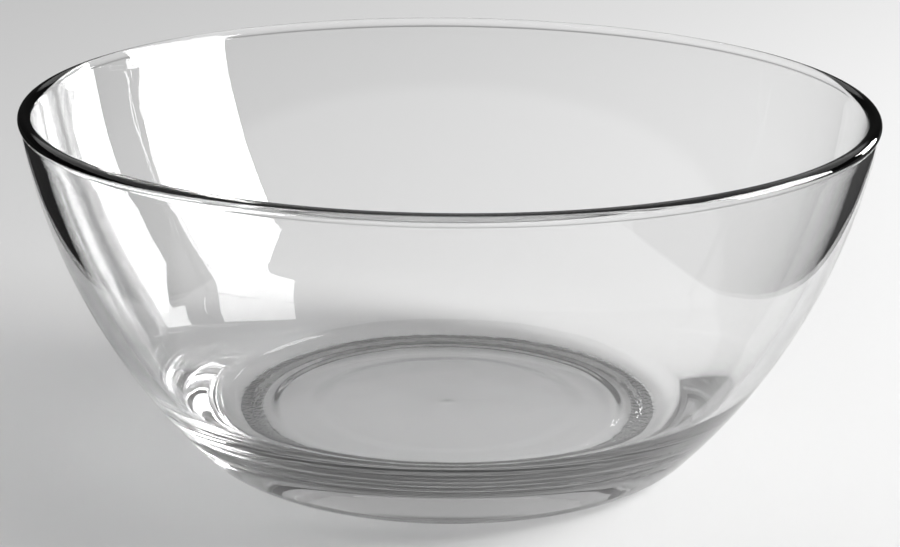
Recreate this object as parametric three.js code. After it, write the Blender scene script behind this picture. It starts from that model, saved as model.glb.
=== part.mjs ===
// A round pressed-glass serving bowl: a single piece of clear glass.
// Millimetres, +Z up, the origin on the bowl's axis in the plane that it stands on.
import * as THREE from 'three';

// Driving dimensions: the outside
const bowlHeight = 107.3;
const rimRadius = 127;            // the widest point, on the bead of the rim
const footRadius = 71.8;          // where the wall's curve would meet the table
const wallCurveRadius = 187.3;    // the one long arc from the foot to the rim
const beadRadius = 2.1;           // the fire-polished roll outside the rim
const beadProud = 0.6;            // how far the roll stands out from the wall
const beadFillet = 0.6;           // the soft hollow under the roll
const heelRadius = 17.8;          // the full round between the wall and the foot

// Driving dimensions: the inside
const rimThickness = 4.2;         // the wall just under the rim
const lowWallThickness = 4.3;     // the wall at the gauge height
const gaugeHeight = 40;           // where the lower wall is measured
const innerCurveRadius = 183.0;   // the arc of the inner wall
const floorThickness = 17.0;      // the base, from the table to the inner floor
const cornerRadius = 34;          // the sweep from the inner floor up to the wall

// Driving dimensions: the underside
const bearingInnerRadius = 62;    // the inner edge of the ring that stands on the table
const stippleWidth = 5;           // the stippled slope from that ring up to a ledge
const ledgeHeight = 0.85;         // how far the ledge clears the table
const ledgeWidth = 2;             // between the stipple and the recess
const recessStep = 0.6;           // from the ledge up into the recess
const recessSlope = 3.5;          // the width of that step
const discRadius = 40.3;          // the round mark that the mould's valve leaves
const discStep = 0.13;            // how far that mark is pressed in
const discSlope = 6;              // the width of the soft edge around the mark

// How finely the round stretches are divided
const turns = 72;
const wallSteps = 11;
const cornerSteps = 6;
const beadSteps = 6;
const lipSteps = 4;
const filletSteps = 3;
const heelSteps = 5;
const slopeSteps = 4;

// The centre of a circle of the given radius through two points, on the left of the way from a to b
function centreThrough(a, b, radius) {
  const way = b.clone().sub(a);
  const half = way.length() / 2;
  const reach = Math.sqrt(radius * radius - half * half);
  const left = new THREE.Vector2(-way.y, way.x).normalize();
  return a.clone().add(b).multiplyScalar(0.5).addScaledVector(left, reach);
}

// The outermost point that lies at the given distances from two centres, on the right of the way a to b
function pointFrom(a, distanceA, b, distanceB) {
  const way = b.clone().sub(a);
  const span = way.length();
  const along = (span * span + distanceA * distanceA - distanceB * distanceB) / (2 * span);
  const across = Math.sqrt(distanceA * distanceA - along * along);
  way.normalize();
  const right = new THREE.Vector2(way.y, -way.x);
  return a.clone().addScaledVector(way, along).addScaledVector(right, across);
}

// The point at the given distance from a centre, on the line through another point
function onWay(centre, through, distance) {
  return through.clone().sub(centre).setLength(distance).add(centre);
}

// The point of a circle at height z, on its far side from the axis
function atHeight(centre, radius, z) {
  return new THREE.Vector2(centre.x + Math.sqrt(radius * radius - (z - centre.y) ** 2), z);
}

// The points of an arc from one point to another, both ends included
function arc(centre, from, to, steps, clockwise = false) {
  const radius = from.distanceTo(centre);
  const start = from.clone().sub(centre).angle();
  const end = to.clone().sub(centre).angle();
  return new THREE.EllipseCurve(centre.x, centre.y, radius, radius, start, end, clockwise).getPoints(steps);
}

// The points of a soft step, level at both ends, which are included
function softStep(from, to, steps) {
  return Array.from({ length: steps + 1 }, (_, index) => {
    const share = index / steps;
    const rise = THREE.MathUtils.smoothstep(share, 0, 1);
    return new THREE.Vector2(
      THREE.MathUtils.lerp(from.x, to.x, share),
      THREE.MathUtils.lerp(from.y, to.y, rise),
    );
  });
}

// The outer wall: one arc from the foot to just under the bead
const beadCentre = new THREE.Vector2(rimRadius - beadRadius, bowlHeight - beadRadius);
const wallFoot = new THREE.Vector2(footRadius, 0);
const wallTop = new THREE.Vector2(rimRadius - beadProud, bowlHeight - 2 * beadRadius);
const wallCentre = centreThrough(wallFoot, wallTop, wallCurveRadius);

// The heel: a full round between the flat foot and the outer wall
const heelCentre = atHeight(wallCentre, wallCurveRadius - heelRadius, heelRadius);
const heelStart = new THREE.Vector2(heelCentre.x, 0);
const heelEnd = onWay(wallCentre, heelCentre, wallCurveRadius);

// The bead: a roll that stands out from the wall over a soft hollow
const filletCentre = pointFrom(
  wallCentre,
  wallCurveRadius + beadFillet,
  beadCentre,
  beadRadius + beadFillet,
);
const filletStart = onWay(wallCentre, filletCentre, wallCurveRadius);
const filletEnd = onWay(beadCentre, filletCentre, beadRadius);
const beadTop = new THREE.Vector2(beadCentre.x, bowlHeight);

// The inner wall: a second arc, nearer to the outer one at the rim than at the gauge height
const innerTop = onWay(wallCentre, wallTop, wallCurveRadius - rimThickness);
const gaugePoint = atHeight(wallCentre, wallCurveRadius, gaugeHeight);
const innerGauge = onWay(wallCentre, gaugePoint, wallCurveRadius - lowWallThickness);
const innerCentre = centreThrough(innerGauge, innerTop, innerCurveRadius);

// The inner edge of the rim: a round that runs from the top of the bead into the inner wall
const lipReach = beadTop.distanceToSquared(innerCentre) - innerCurveRadius * innerCurveRadius;
const lipRadius = lipReach / (2 * (innerCurveRadius + bowlHeight - innerCentre.y));
const lipCentre = new THREE.Vector2(beadTop.x, bowlHeight - lipRadius);
const lipEnd = onWay(innerCentre, lipCentre, innerCurveRadius);

// The sweep from the inner wall to the flat inner floor
const cornerHeight = floorThickness + cornerRadius;
const cornerCentre = atHeight(innerCentre, innerCurveRadius - cornerRadius, cornerHeight);
const cornerStart = onWay(innerCentre, cornerCentre, innerCurveRadius);
const cornerEnd = new THREE.Vector2(cornerCentre.x, floorThickness);

// The underside: three soft steps down from the disc to the bearing ring
const recessHeight = ledgeHeight + recessStep;
const discHeight = recessHeight + discStep;
const discEdge = new THREE.Vector2(discRadius - discSlope / 2, discHeight);
const discFoot = new THREE.Vector2(discRadius + discSlope / 2, recessHeight);
const stippleTop = new THREE.Vector2(bearingInnerRadius - stippleWidth, ledgeHeight);
const stippleFoot = new THREE.Vector2(bearingInnerRadius, 0);
const recessFoot = new THREE.Vector2(stippleTop.x - ledgeWidth, ledgeHeight);
const recessEdge = new THREE.Vector2(recessFoot.x - recessSlope, recessHeight);

// The half section, from the axis under the base, out and up the wall, and back in to the axis
const section = [
  new THREE.Vector2(0, discHeight),
  ...softStep(discEdge, discFoot, slopeSteps),
  ...softStep(recessEdge, recessFoot, slopeSteps),
  ...softStep(stippleTop, stippleFoot, slopeSteps),
  ...arc(heelCentre, heelStart, heelEnd, heelSteps),
  ...arc(wallCentre, heelEnd, filletStart, wallSteps).slice(1),
  ...arc(filletCentre, filletStart, filletEnd, filletSteps, true).slice(1),
  ...arc(beadCentre, filletEnd, beadTop, beadSteps).slice(1),
  ...arc(lipCentre, beadTop, lipEnd, lipSteps).slice(1),
  ...arc(innerCentre, lipEnd, cornerStart, wallSteps, true).slice(1),
  ...arc(cornerCentre, cornerStart, cornerEnd, cornerSteps, true).slice(1),
  new THREE.Vector2(0, floorThickness),
];

// Clear, colourless soda-lime glass with a fire-polished surface
const clearGlass = new THREE.MeshStandardMaterial({
  color: 0xeef1f0,
  roughness: 0.04,
  metalness: 0,
  transparent: true,
  opacity: 0.35,
});

const glassBowl = new THREE.Mesh(new THREE.LatheGeometry(section, turns), clearGlass);
glassBowl.name = 'glass_bowl';
glassBowl.rotation.x = Math.PI / 2;

const bowl = new THREE.Group();
bowl.add(glassBowl);

export default bowl;
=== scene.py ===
# Looks of a clear pressed-glass serving bowl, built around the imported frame
import math
import random

import bmesh
import bpy
from mathutils import Matrix, Vector


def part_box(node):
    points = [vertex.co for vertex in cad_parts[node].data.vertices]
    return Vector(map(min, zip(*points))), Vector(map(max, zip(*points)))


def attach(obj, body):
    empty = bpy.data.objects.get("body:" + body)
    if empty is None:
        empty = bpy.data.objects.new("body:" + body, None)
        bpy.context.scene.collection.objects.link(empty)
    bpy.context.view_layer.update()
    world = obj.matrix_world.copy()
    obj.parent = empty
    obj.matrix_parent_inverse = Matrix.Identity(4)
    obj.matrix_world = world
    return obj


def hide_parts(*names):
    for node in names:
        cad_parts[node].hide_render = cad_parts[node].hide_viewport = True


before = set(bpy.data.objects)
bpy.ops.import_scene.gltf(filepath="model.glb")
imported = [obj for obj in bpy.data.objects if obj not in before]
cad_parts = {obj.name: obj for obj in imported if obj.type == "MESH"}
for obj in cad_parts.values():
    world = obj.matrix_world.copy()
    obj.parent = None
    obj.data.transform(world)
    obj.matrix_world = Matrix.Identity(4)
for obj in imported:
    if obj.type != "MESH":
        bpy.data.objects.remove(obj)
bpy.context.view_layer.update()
mm = 0.001


def linear(hexColour):  # sRGB hex to the linear colour that shaders take
    parts = [int(hexColour[i:i + 2], 16) / 255 for i in (1, 3, 5)]
    return [p / 12.92 if p <= 0.04045 else ((p + 0.055) / 1.055) ** 2.4 for p in parts] + [1.0]


# Settings go to a node's sockets or properties, links to its input sockets
def addNode(tree, kind, settings=None, links=None):
    node = tree.nodes.new(kind)
    for name, value in (settings or {}).items():
        if name in node.inputs:
            node.inputs[name].default_value = value
        else:
            setattr(node, name, value)
    for name, source in (links or {}).items():
        tree.links.new(source, node.inputs[name])
    return node


def emptyMaterial(name):
    material = bpy.data.materials.new(name)
    material.use_nodes = True
    material.node_tree.nodes.clear()
    return material, material.node_tree


# Camera, at the place that the rim's ellipse and the wall's outline give in a 900 by 547 picture

photoView = {
    "place": (0.0, -761.3, 284.1),  # mm from the middle of the foot
    "pitchDown": 0.29383,           # radians below the horizon
    "yawRight": 0.0006,
    "roll": 0.00925,
    "focalPixels": 2628.5,
    "pictureWidth": 900,
    "sensor": 36.0,
    "clip": (0.01, 50.0),           # m, nearest and farthest
}


def placeCamera(s):
    data = bpy.data.cameras.new("photoCamera")
    camera = bpy.data.objects.new("photoCamera", data)
    bpy.context.scene.collection.objects.link(camera)
    camera.matrix_world = (
        Matrix.Translation(Vector(s["place"]) * mm)
        @ Matrix.Rotation(-s["yawRight"], 4, "Z")
        @ Matrix.Rotation(math.pi / 2 - s["pitchDown"], 4, "X")
        @ Matrix.Rotation(s["roll"], 4, "Z")
    )
    data.sensor_width = s["sensor"]
    data.lens = s["focalPixels"] * s["sensor"] / s["pictureWidth"]
    data.clip_start, data.clip_end = s["clip"]
    bpy.context.scene.camera = camera
    print("camera placed, lens", round(data.lens, 1), "mm")


placeCamera(photoView)


# The bowl: its half section is drawn with arcs and soft steps and then spun about the axis

bowlGlass = {
    "wallCurve": 187.3,          # mm, the one long arc of the outer wall
    "footRadius": 71.8,          # where the wall would meet the table without its heel
    "heel": 17.8,
    "bead": 2.1,
    "beadProud": 0.6,
    "beadFillet": 0.6,
    "rimWall": 4.2,
    "lowWall": 4.3,
    "gaugeHeight": 40.0,         # where the lower wall is measured
    "innerCurve": 183.0,
    "floor": 17.0,
    "corner": 34.0,
    "stipple": (57.0, 62.0),     # the stippled slope, down to the narrow ring that the bowl stands on
    "recessEdge": (51.5, 55.0),  # the step from the recess down to a ledge inside the stipple
    "discEdge": (37.3, 43.3),    # the soft edge of the round mark that the mould's valve leaves
    "ledge": 0.85,               # heights above the table
    "recess": 1.45,
    "disc": 1.58,
    "pip": (3.0, 0.06),          # reach and depth of a tiny hollow in the middle of that mark
    "stippleOuter": 64.2,        # most of that ring is stippled too
    "stippleInset": 0.1,         # keeps the edge of the ledge smooth
    "stippleDepth": 0.22,
    "stippleBias": 1.5,          # over 1, so that most pits are shallow
    "stippleSeed": 7,
    "weld": 0.001,               # points as close as this are made one
    "sectors": 20,
    "sectorSteps": 30,
    "steps": {                   # along each stretch of the half section
        "pip": 8,
        "disc": 3,
        "discEdge": 8,
        "recessEdge": 8,
        "ledge": 2,
        "stipple": 14,
        "ring": 6,
        "heel": 14,
        "wall": 30,
        "fillet": 5,
        "bead": 12,
        "lip": 10,
        "inner": 28,
        "corner": 14,
        "floor": 4,
    },
}


def circleCentre(a, b, radius):  # centre on the left of the way from a to b
    way = b - a
    left = Vector((-way.y, way.x)).normalized()
    return (a + b) / 2 + left * math.sqrt(radius ** 2 - (way.length / 2) ** 2)


def atHeight(centre, radius, z):  # point of a circle at that height, away from the axis
    return Vector((centre.x + math.sqrt(radius ** 2 - (z - centre.y) ** 2), z))


def onWay(centre, through, distance):
    return centre + (through - centre).normalized() * distance


# The point at both distances, on the right of the way from a to b
def betweenCircles(a, reachA, b, reachB):
    way = b - a
    along = (way.length ** 2 + reachA ** 2 - reachB ** 2) / (2 * way.length)
    across = math.sqrt(reachA ** 2 - along ** 2)
    unit = way.normalized()
    return a + unit * along + Vector((unit.y, -unit.x)) * across


# A straight stretch, or a soft step that is level at both ends
def stretchTo(bm, last, r, z, steps=1, soft=False):
    start = last.co.copy()
    way = Vector((r, 0, z)) - start
    for i in range(steps):
        share = (i + 1) / steps
        rise = share * share * (3 - 2 * share) if soft else share
        last = bmesh.ops.extrude_vert_indiv(bm, verts=[last])["verts"][0]
        last.co = start + Vector((way.x * share, 0, way.z * rise))
    return last


# A round stretch: the last point is spun about a centre
def arcTo(bm, last, centre, end, steps, hollow=False):
    start = Vector((last.co.x, last.co.z)) - centre
    turn = start.angle_signed(end - centre)  # clockwise is positive here
    turn = -turn % (2 * math.pi)
    if hollow:
        turn -= 2 * math.pi
    made = bmesh.ops.spin(
        bm,
        geom=[last],
        cent=(centre.x, 0, centre.y),
        axis=(0, -1, 0),
        angle=turn,
        steps=steps,
    )
    return [g for g in made["geom_last"] if isinstance(g, bmesh.types.BMVert)][0]


# In mm, from the axis under the base round to the axis on the inner floor
def drawSection(bm, s, rim, height):
    beadCentre = Vector((rim - s["bead"], height - s["bead"]))
    wallTop = Vector((rim - s["beadProud"], height - 2 * s["bead"]))
    wall = circleCentre(Vector((s["footRadius"], 0)), wallTop, s["wallCurve"])
    heel = atHeight(wall, s["wallCurve"] - s["heel"], s["heel"])
    fillet = betweenCircles(
        wall,
        s["wallCurve"] + s["beadFillet"],
        beadCentre,
        s["bead"] + s["beadFillet"],
    )
    innerTop = onWay(wall, wallTop, s["wallCurve"] - s["rimWall"])
    gauge = atHeight(wall, s["wallCurve"], s["gaugeHeight"])
    innerGauge = onWay(wall, gauge, s["wallCurve"] - s["lowWall"])
    inner = circleCentre(innerGauge, innerTop, s["innerCurve"])
    beadTop = Vector((beadCentre.x, height))
    lipReach = (beadTop - inner).length_squared - s["innerCurve"] ** 2
    lip = lipReach / (2 * (s["innerCurve"] + height - inner.y))
    lipCentre = Vector((beadTop.x, height - lip))
    corner = atHeight(inner, s["innerCurve"] - s["corner"], s["floor"] + s["corner"])
    steps = s["steps"]

    last = bm.verts.new((0, 0, s["disc"] + s["pip"][1]))
    last = stretchTo(bm, last, s["pip"][0], s["disc"], steps["pip"], soft=True)
    last = stretchTo(bm, last, s["discEdge"][0], s["disc"], steps["disc"])
    last = stretchTo(bm, last, s["discEdge"][1], s["recess"], steps["discEdge"], soft=True)
    last = stretchTo(bm, last, s["recessEdge"][0], s["recess"])
    last = stretchTo(bm, last, s["recessEdge"][1], s["ledge"], steps["recessEdge"], soft=True)
    last = stretchTo(bm, last, s["stipple"][0], s["ledge"], steps["ledge"])
    last = stretchTo(bm, last, s["stipple"][1], 0, steps["stipple"], soft=True)
    last = stretchTo(bm, last, heel.x, 0, steps["ring"])
    last = arcTo(bm, last, heel, onWay(wall, heel, s["wallCurve"]), steps["heel"])
    last = arcTo(bm, last, wall, onWay(wall, fillet, s["wallCurve"]), steps["wall"])
    last = arcTo(bm, last, fillet, onWay(beadCentre, fillet, s["bead"]), steps["fillet"], hollow=True)
    last = arcTo(bm, last, beadCentre, beadTop, steps["bead"])
    last = arcTo(bm, last, lipCentre, onWay(inner, lipCentre, s["innerCurve"]), steps["lip"])
    last = arcTo(bm, last, inner, onWay(inner, corner, s["innerCurve"]), steps["inner"], hollow=True)
    last = arcTo(bm, last, corner, Vector((corner.x, s["floor"])), steps["corner"], hollow=True)
    stretchTo(bm, last, 0, s["floor"], steps["floor"])


def onStipple(s, point):
    reach = math.hypot(point.x, point.y)
    return point.z < s["ledge"] and s["stipple"][0] + s["stippleInset"] < reach < s["stippleOuter"]


def makeBowl(s, glass, stippled):
    low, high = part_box("glass_bowl")
    rim = (high.x - low.x) / 2 / mm
    height = (high.z - low.z) / mm
    bm = bmesh.new()
    drawSection(bm, s, rim, height)
    sector = 2 * math.pi / s["sectors"]
    bmesh.ops.spin(  # one sector, then copies of it, which is far quicker than one long spin
        bm,
        geom=bm.verts[:] + bm.edges[:],
        cent=(0, 0, 0),
        axis=(0, 0, 1),
        angle=sector,
        steps=s["sectorSteps"],
    )
    bmesh.ops.spin(
        bm,
        geom=bm.verts[:] + bm.edges[:] + bm.faces[:],
        cent=(0, 0, 0),
        axis=(0, 0, 1),
        angle=2 * math.pi - sector,
        steps=s["sectors"] - 1,
        use_duplicate=True,
    )
    bmesh.ops.remove_doubles(bm, verts=bm.verts[:], dist=s["weld"])
    bmesh.ops.recalc_face_normals(bm, faces=bm.faces[:])
    for face in bm.faces:
        face.smooth = True
        face.material_index = 1 if onStipple(s, face.calc_center_median()) else 0
    rng = random.Random(s["stippleSeed"])
    for v in bm.verts:
        if onStipple(s, v.co):
            v.co.z += s["stippleDepth"] * rng.random() ** s["stippleBias"]
    bmesh.ops.scale(bm, verts=bm.verts[:], vec=(mm, mm, mm))
    mesh = bpy.data.meshes.new("glassBowl")
    bm.to_mesh(mesh)
    bm.free()
    mesh.materials.append(glass)
    mesh.materials.append(stippled)
    bowl = bpy.data.objects.new("glassBowl", mesh)
    bpy.context.scene.collection.objects.link(bowl)
    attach(bowl, "root")
    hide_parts("glass_bowl")
    print("bowl spun,", len(mesh.polygons), "faces, rim", round(rim, 2), "height", round(height, 2))


# Soda-lime glass: clear and colourless, and dark only where light runs far inside it

glassBody = {
    "ior": 1.52,
    "taken": 2.0,              # of the light, for each metre of glass
    "takenColour": "#000000",  # black takes all colours alike
    "grainRoughness": 0.4,
}

# Pressed and then fire-polished, it is mirror smooth with a faint ripple left by the mould

polishedGlass = {
    "colour": "#FFFFFF",
    "roughness": 0.0,
    "grain": 20.0,          # mm from crest to crest
    "grainDepth": 0.04,     # mm
    "detail": 1.0,
}

# Where the mould stippled it, it is matt and finely pitted, and its grey colour is painted shade that
# darkens the stippled ring under the base

stippledGlass = {
    # painted shade: this grey darkens the ring that the bowl stands on
    "colour": "#A0A0A0",
    "roughness": 0.12,
    "grain": 0.8,
    "grainDepth": 0.06,
    "detail": 2.0,
}


def makeGlass(name, body, s):
    material, tree = emptyMaterial(name)
    place = addNode(tree, "ShaderNodeTexCoord")
    grain = addNode(
        tree,
        "ShaderNodeTexNoise",
        {
            "Scale": 1 / (s["grain"] * mm),
            "Detail": s["detail"],
            "Roughness": body["grainRoughness"],
        },
        {"Vector": place.outputs["Object"]},
    )
    bump = addNode(
        tree,
        "ShaderNodeBump",
        {"Strength": 1.0, "Distance": s["grainDepth"] * mm},
        {"Height": grain.outputs["Fac"]},
    )
    shader = addNode(
        tree,
        "ShaderNodeBsdfPrincipled",
        {
            "Base Color": linear(s["colour"]),
            "IOR": body["ior"],
            "Roughness": s["roughness"],
            "Transmission Weight": 1.0,
        },
        {"Normal": bump.outputs["Normal"]},
    )
    depth = addNode(
        tree,
        "ShaderNodeVolumeAbsorption",
        {"Color": linear(body["takenColour"]), "Density": body["taken"]},
    )
    addNode(
        tree,
        "ShaderNodeOutputMaterial",
        None,
        {"Surface": shader.outputs["BSDF"], "Volume": depth.outputs["Volume"]},
    )
    return material


makeBowl(
    bowlGlass,
    makeGlass("fire-polished soda-lime glass", glassBody, polishedGlass),
    makeGlass("mould-stippled soda-lime glass", glassBody, stippledGlass),
)


# Floor: pale paper, plain from every side and straight through the glass. To light that has turned
# back inside the glass it is dark, as black cards around the bowl would make it, which draws the
# glass's edges

paper = {
    "outline": (            # mm, the run of paper that the bowl stands on
        (-155, -600),
        (163, -600),
        (163, -90),
        (443, 1400),
        (-435, 1400),
        (-155, -90),
    ),
    "reach": 40,            # times that outline, for the paper around the run
    "gap": 0.05,            # mm under the bowl
    "colour": "#D6D6D6",
    "turnedColour": "#141414",
    "runTurns": 2,          # the run is dark after this many
    "aroundTurns": 1,
    "roughness": 0.9,
    "specular": 0.2,
}


def makePaper(s, turns):
    material, tree = emptyMaterial("matt white paper")
    path = addNode(tree, "ShaderNodeLightPath")
    colour = addNode(
        tree,
        "ShaderNodeMapRange",
        {
            "From Min": turns - 1.0,
            "From Max": float(turns),
            "To Min": linear(s["colour"])[0],
            "To Max": linear(s["turnedColour"])[0],
        },
        {"Value": path.outputs["Glossy Depth"]},
    )
    shader = addNode(
        tree,
        "ShaderNodeBsdfPrincipled",
        {"Roughness": s["roughness"], "Specular IOR Level": s["specular"]},
        {"Base Color": colour.outputs["Result"]},
    )
    addNode(tree, "ShaderNodeOutputMaterial", None, {"Surface": shader.outputs["BSDF"]})
    return material


def layPaper(s):
    bm = bmesh.new()
    run = bm.faces.new([bm.verts.new((x, y, -s["gap"])) for x, y in s["outline"]])
    made = bmesh.ops.extrude_edge_only(bm, edges=bm.edges[:])
    outerEdge = [g for g in made["geom"] if isinstance(g, bmesh.types.BMVert)]
    bmesh.ops.scale(bm, verts=outerEdge, vec=(s["reach"], s["reach"], 1))
    for face in bm.faces:
        face.material_index = 0 if face == run else 1
        face.normal_update()
        if face.normal.z < 0:
            face.normal_flip()
    bmesh.ops.scale(bm, verts=bm.verts[:], vec=(mm, mm, mm))
    mesh = bpy.data.meshes.new("paper")
    bm.to_mesh(mesh)
    bm.free()
    mesh.materials.append(makePaper(s, s["runTurns"]))
    mesh.materials.append(makePaper(s, s["aroundTurns"]))
    floor = bpy.data.objects.new("paper", mesh)
    bpy.context.scene.collection.objects.link(floor)
    print("paper laid")


layPaper(paper)


# Light: two soft panels in one plane on the right, and a pale ceiling over a dim room

sidePanels = {
    "distance": 1.2,        # m to the right of the bowl
    "outlines": (           # m, near, far, bottom and top, and then the strength
        (-0.36, 0.43, 0.06, 1.0, 16.6),
        (0.95, 1.6, 0.0, 0.5, 13.1),
    ),
}
room = {
    "colour": "#FFFFFF",
    "backdrop": 0.7,        # strength where it is seen straight, or straight through the glass
    "levels": (             # rise of the way, and the strength there
        (0.0, 0.02),
        (0.3, 0.02),
        (0.345, 0.51),
        (0.55, 0.485),
        (1.0, 0.44),
    ),
}


def placePanels(s):
    for i, (near, far, bottom, top, strength) in enumerate(s["outlines"]):
        data = bpy.data.lights.new(f"sidePanel{i}", "AREA")
        data.shape = "RECTANGLE"
        data.size = far - near
        data.size_y = top - bottom
        data.energy = strength * math.pi * data.size * data.size_y
        panel = bpy.data.objects.new(f"sidePanel{i}", data)
        panel.location = (s["distance"], (near + far) / 2, (bottom + top) / 2)
        panel.rotation_euler = (math.pi / 2, 0, math.pi / 2)
        panel.visible_camera = False
        bpy.context.scene.collection.objects.link(panel)
    print("panels placed")


def setRoom(s):
    world = bpy.data.worlds.new("room")
    bpy.context.scene.world = world
    world.use_nodes = True
    tree = world.node_tree
    tree.nodes.clear()
    way = addNode(tree, "ShaderNodeTexCoord")
    parts = addNode(tree, "ShaderNodeSeparateXYZ", None, {"Vector": way.outputs["Generated"]})
    rise = addNode(tree, "ShaderNodeValToRGB", None, {"Fac": parts.outputs["Z"]})
    stops = rise.color_ramp.elements
    while len(stops) < len(s["levels"]):
        stops.new(1.0)
    for stop, (place, level) in zip(stops, s["levels"]):
        stop.position = place
        stop.color = (level, level, level, 1.0)
    path = addNode(tree, "ShaderNodeLightPath")
    seen = addNode(
        tree,
        "ShaderNodeMath",
        {"operation": "ADD"},
        {0: path.outputs["Is Camera Ray"], 1: path.outputs["Is Transmission Ray"]},
    )
    turns = addNode(
        tree,
        "ShaderNodeMath",
        {"operation": "ADD"},
        {0: path.outputs["Glossy Depth"], 1: path.outputs["Diffuse Depth"]},
    )
    straight = addNode(
        tree,
        "ShaderNodeMath",
        {"operation": "SUBTRACT", "use_clamp": True},
        {0: seen.outputs["Value"], 1: turns.outputs["Value"]},
    )
    strength = addNode(
        tree,
        "ShaderNodeMapRange",
        {"To Max": s["backdrop"]},
        {"Value": straight.outputs["Value"], "To Min": rise.outputs["Color"]},
    )
    light = addNode(
        tree,
        "ShaderNodeBackground",
        {"Color": linear(s["colour"])},
        {"Strength": strength.outputs["Result"]},
    )
    addNode(tree, "ShaderNodeOutputWorld", None, {"Surface": light.outputs["Background"]})
    print("room lit")


placePanels(sidePanels)
setRoom(room)

glassBounces = 24  # enough for light that turns many times inside the base
scene = bpy.context.scene
scene.view_settings.view_transform = "Standard"
scene.cycles.blur_glossy = 0.0  # keeps the bright and dark streaks that the glass throws on the paper
scene.cycles.max_bounces = glassBounces
scene.cycles.glossy_bounces = glassBounces
scene.cycles.transmission_bounces = glassBounces
